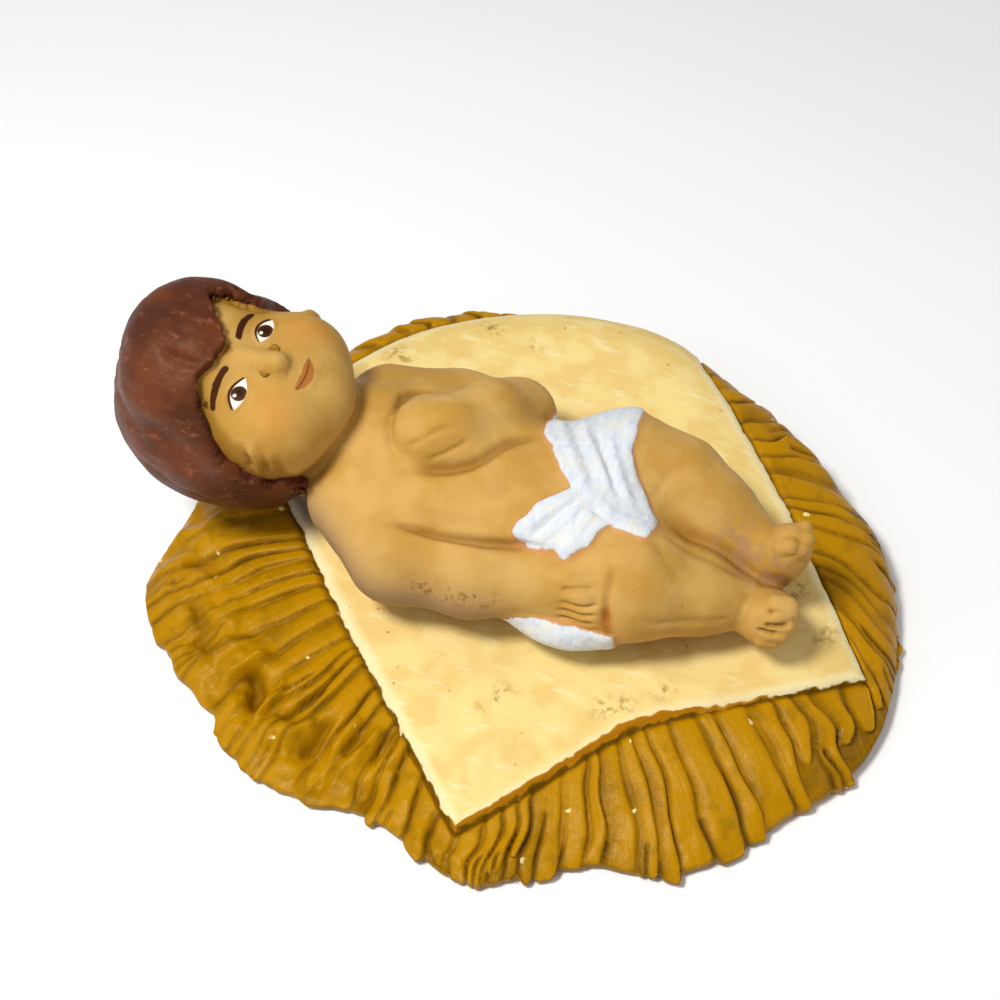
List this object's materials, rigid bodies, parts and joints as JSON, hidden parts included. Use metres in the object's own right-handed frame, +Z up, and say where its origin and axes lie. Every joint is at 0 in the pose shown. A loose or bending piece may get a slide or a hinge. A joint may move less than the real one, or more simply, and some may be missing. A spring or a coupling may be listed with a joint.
{
  "type": "nativity child figurine",
  "caption": "Small painted clay child in a loincloth, lying loose on a low straw bed with a cloth spread over it, which stands on its flat underside.",
  "frame": {"origin": "the middle of the straw bed's flat underside", "axes": "+X from the child's head to its feet, +Y to the child's left, +Z up"},
  "size_m": [0.1275, 0.1097, 0.0494],
  "materials": {
    "straw_bed": "hand-painted ochre straw in satin paint with glints, and a cream cloth in matt paint, worn and stained",
    "child": "hand-painted in satin paint: tan skin, reddish brown hair and a white loincloth, with small stains"
  },
  "bodies": {
    "root": {"straw_bed": "straw_bed", "child": "child"}
  },
  "joints": []
}
